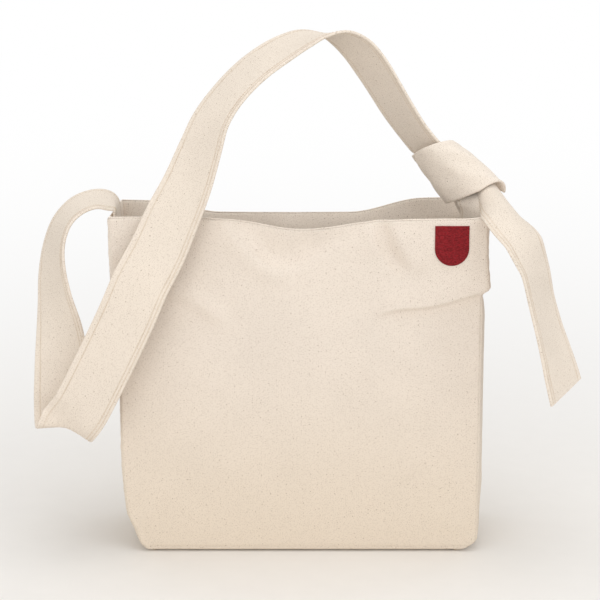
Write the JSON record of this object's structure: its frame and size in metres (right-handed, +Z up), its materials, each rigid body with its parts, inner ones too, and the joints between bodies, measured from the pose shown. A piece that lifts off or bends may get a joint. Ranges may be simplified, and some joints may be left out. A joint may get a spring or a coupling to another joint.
{
  "type": "canvas shoulder bag",
  "caption": "Boxed canvas tote bag with one wide canvas strap that hangs in a loop at one end, arches over the mouth and is knotted into a keeper loop at the other end.",
  "frame": {"origin": "middle of the flat base, where it rests", "axes": "+Z up, -Y towards the viewer of the labelled front, +X to the right of that front, where the strap is knotted"},
  "size_m": [0.5502, 0.1976, 0.5319],
  "materials": {
    "canvas": "unbleached canvas with a fine weave and small dark flecks",
    "facing": "the same canvas, inside the mouth",
    "strap": "doubled unbleached canvas with stitched edges",
    "binding": "canvas tape over the seam allowances",
    "label": "dark red woven patch, plain"
  },
  "bodies": {
    "bag": {"front_panel": "canvas", "back_panel": "canvas", "left_gusset": "canvas", "right_gusset": "canvas", "base_panel": "canvas", "front_facing": "facing", "back_facing": "facing", "left_facing": "facing", "right_facing": "facing", "front_left_binding": "binding", "front_right_binding": "binding", "back_left_binding": "binding", "back_right_binding": "binding", "front_base_binding": "binding", "back_base_binding": "binding", "left_base_binding": "binding", "right_base_binding": "binding", "label_patch": "label", "strap_sewn_end": "strap", "keeper_outer_leg": "strap", "keeper_inner_leg": "strap"},
    "hanging_loop": {"strap_left_fold": "strap", "strap_hanging_loop": "strap"},
    "arch": {"strap_rim_fold": "strap", "strap_arch": "strap", "knot_wrap": "strap", "knot_core": "strap", "keeper_loop": "strap"},
    "tail": {"tail_root": "strap", "strap_tail": "strap"}
  },
  "joints": [
    {"name": "strap_loop_swing", "type": "hinge", "parent": "bag", "child": "hanging_loop", "pos_m": [-0.19, 0, 0.35], "axis": [-0.6709, 0.7399, 0.049], "range_deg": [0, 40], "deforming": ["strap_left_fold", "strap_rim_fold"]},
    {"name": "strap_flop", "type": "hinge", "parent": "bag", "child": "arch", "pos_m": [-0.122, -0.073, 0.35], "axis": [0.9715, 0.2364, -0.016], "range_deg": [-45, 30], "deforming": ["strap_rim_fold", "keeper_loop"]},
    {"name": "tail_swing", "type": "hinge", "parent": "arch", "child": "tail", "pos_m": [0.192, -0.02, 0.372], "axis": [0, -1, 0], "range_deg": [-5, 60], "deforming": ["tail_root"]}
  ]
}
